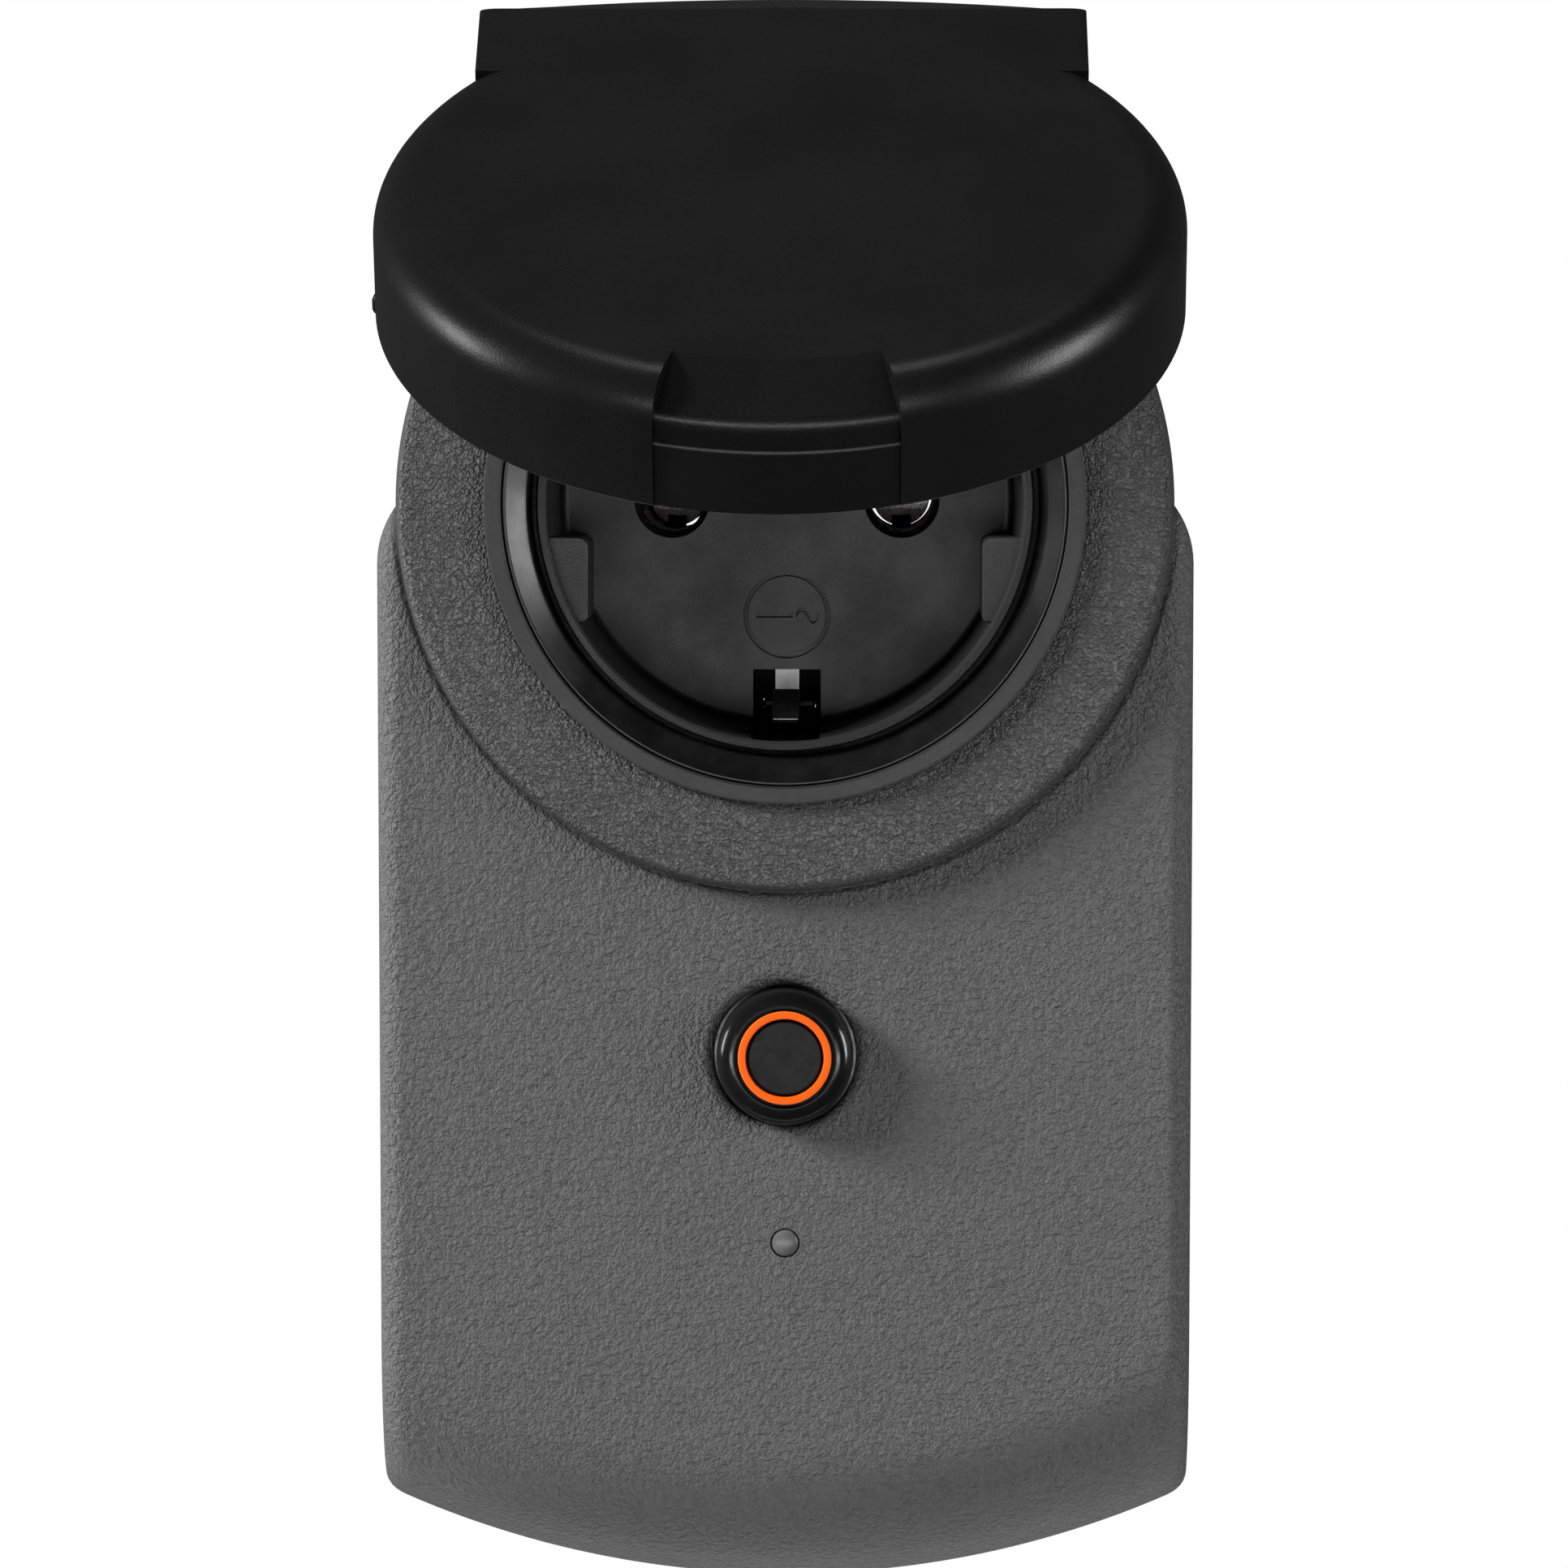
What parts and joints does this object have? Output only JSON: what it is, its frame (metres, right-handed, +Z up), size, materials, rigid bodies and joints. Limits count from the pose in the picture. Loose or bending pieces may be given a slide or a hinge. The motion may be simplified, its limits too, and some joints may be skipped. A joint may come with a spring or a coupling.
{
  "type": "smart plug",
  "caption": "Outdoor plug-through smart socket adapter: grained housing, round collar, hinged lid, push button with coloured ring and indicator window.",
  "frame": {"origin": "centre of the plug's contact face, on the axis shared by the plug and the socket", "axes": "+Y into the wall along the plug pins, +Z up, +X to the right seen from the front"},
  "size_m": [0.0662, 0.1451, 0.1289],
  "materials": {
    "housing_grey": "fine leather grain, matt",
    "lid_black": "satin, very fine grain",
    "socket_black": "satin",
    "gloss_black": "polished",
    "orange_ring": "satin, bright orange",
    "black_rubber": "smooth",
    "clear_lens": "smooth, slightly translucent",
    "contact_brass": "plain",
    "pin_nickel": "nickel plated brass, bright",
    "spring_steel": "bright",
    "screw_steel": "zinc plated",
    "board_green": "solder resist",
    "relay_black": "moulded",
    "film_yellow": "moulded",
    "coil_amber": "taped winding",
    "can_aluminium": "sleeved can",
    "varistor_blue": "dipped",
    "fuse_ceramic": "plain",
    "shield_tin": "tin plated",
    "brown_insulation": "smooth",
    "blue_insulation": "smooth",
    "earth_insulation": "smooth"
  },
  "bodies": {
    "housing": {"board_screw_1": "screw_steel", "board_screw_2": "screw_steel", "bulk_capacitor": "can_aluminium", "button_seal": "black_rubber", "choke": "coil_amber", "contact_line": "contact_brass", "contact_neutral": "contact_brass", "earth_bow": "spring_steel", "earth_lead_lower": "earth_insulation", "earth_lead_upper": "earth_insulation", "earth_strip_lower": "pin_nickel", "earth_strip_upper": "pin_nickel", "film_capacitor": "film_yellow", "front_housing": "housing_grey", "fuse": "fuse_ceramic", "hinge_pin": "screw_steel", "housing_screw_1": "screw_steel", "housing_screw_2": "screw_steel", "housing_screw_3": "screw_steel", "housing_screw_4": "screw_steel", "housing_seal": "black_rubber", "light_pipe": "clear_lens", "line_lead_in": "brown_insulation", "line_lead_out": "brown_insulation", "main_board": "board_green", "neutral_lead_in": "blue_insulation", "neutral_lead_out": "blue_insulation", "plug_insert": "socket_black", "plug_pin_line": "pin_nickel", "plug_pin_neutral": "pin_nickel", "power_relay": "relay_black", "push_switch": "shield_tin", "radio_module": "shield_tin", "rear_housing": "housing_grey", "smoothing_capacitor": "can_aluminium", "socket_insert": "socket_black", "socket_seal": "black_rubber", "status_diode": "clear_lens", "transformer": "coil_amber", "varistor": "varistor_blue"},
    "lid": {"lid_shell": "lid_black", "lid_seal": "black_rubber"},
    "button": {"button_cap": "gloss_black", "button_ring": "orange_ring"},
    "plunger": {"switch_plunger": "gloss_black"}
  },
  "joints": [
    {"name": "lid_hinge", "type": "hinge", "parent": "housing", "child": "lid", "pos_m": [0, -0.0661, 0.0363], "axis": [-1, 0, 0], "range_deg": [-59.2, 30.8]},
    {"name": "button_press", "type": "slide", "parent": "housing", "child": "button", "axis": [0, 1, 0], "range_m": [0, 0.0008], "stiffness_N_per_m": 1500, "springref_m": -0.0006},
    {"name": "plunger_press", "type": "slide", "parent": "housing", "child": "plunger", "axis": [0, 1, 0], "range_m": [0, 0.0008]}
  ],
  "couplings": [
    {"joint": "plunger_press", "follows": "button_press", "ratio": 1}
  ]
}
